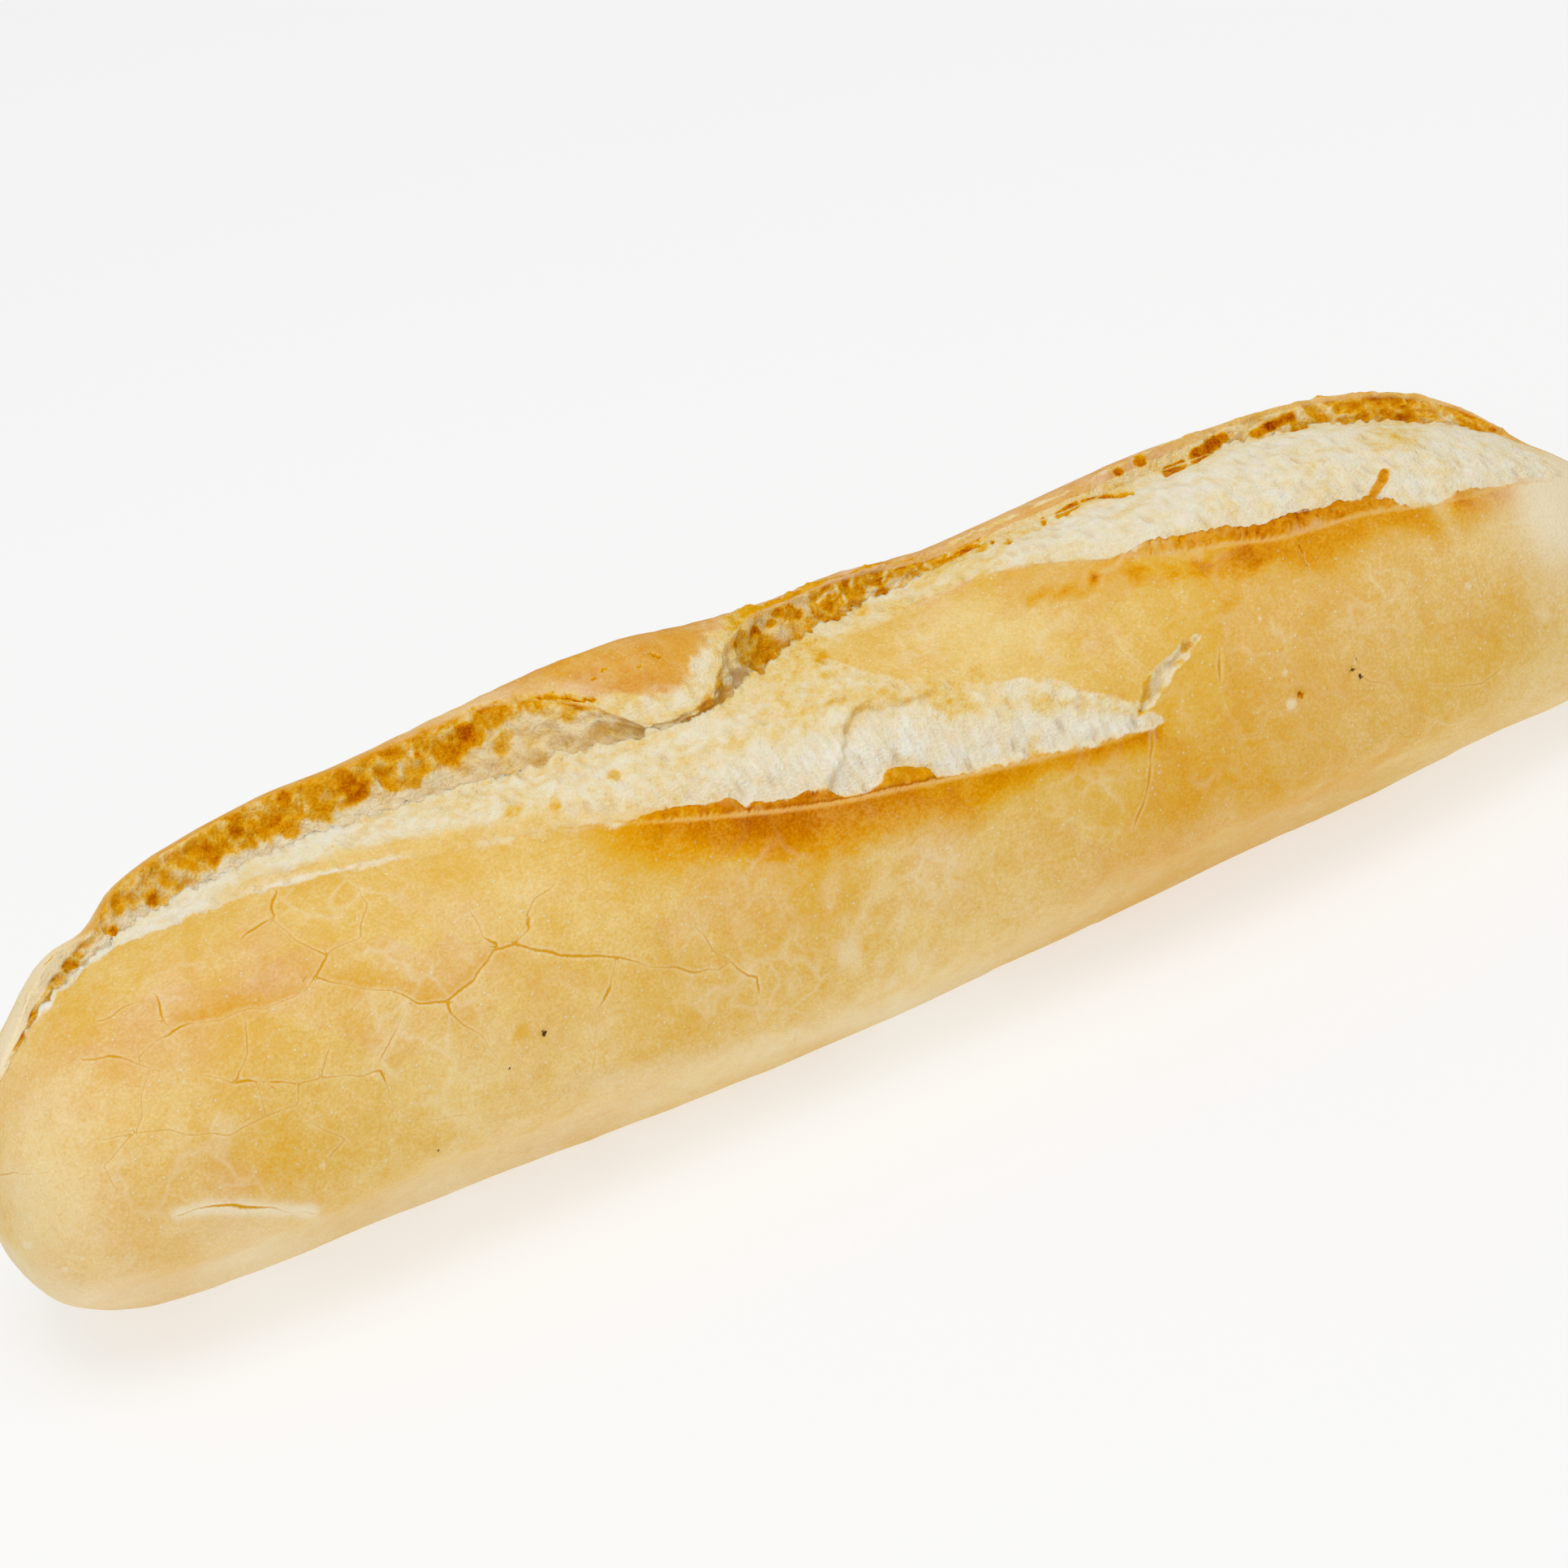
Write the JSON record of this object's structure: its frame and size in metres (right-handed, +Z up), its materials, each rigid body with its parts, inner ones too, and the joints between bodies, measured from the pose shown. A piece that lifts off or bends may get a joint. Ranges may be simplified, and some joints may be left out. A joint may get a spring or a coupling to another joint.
{
  "type": "baguette",
  "caption": "Short pale baguette lying on its flat base, with a deep torn crevice along the top, a raised far ear and opened slanting cuts.",
  "frame": {"origin": "middle of the loaf's box, on the flat base that it rests on", "axes": "+X along the loaf towards its slimmer end, +Z up, -Y the side that the opened cuts lean to"},
  "size_m": [0.274, 0.0674, 0.0605],
  "materials": {
    "bread": "matt baked crust, golden and mottled, with bared cream crumb in the cuts"
  },
  "bodies": {
    "root": {"loaf": "bread"}
  },
  "joints": []
}
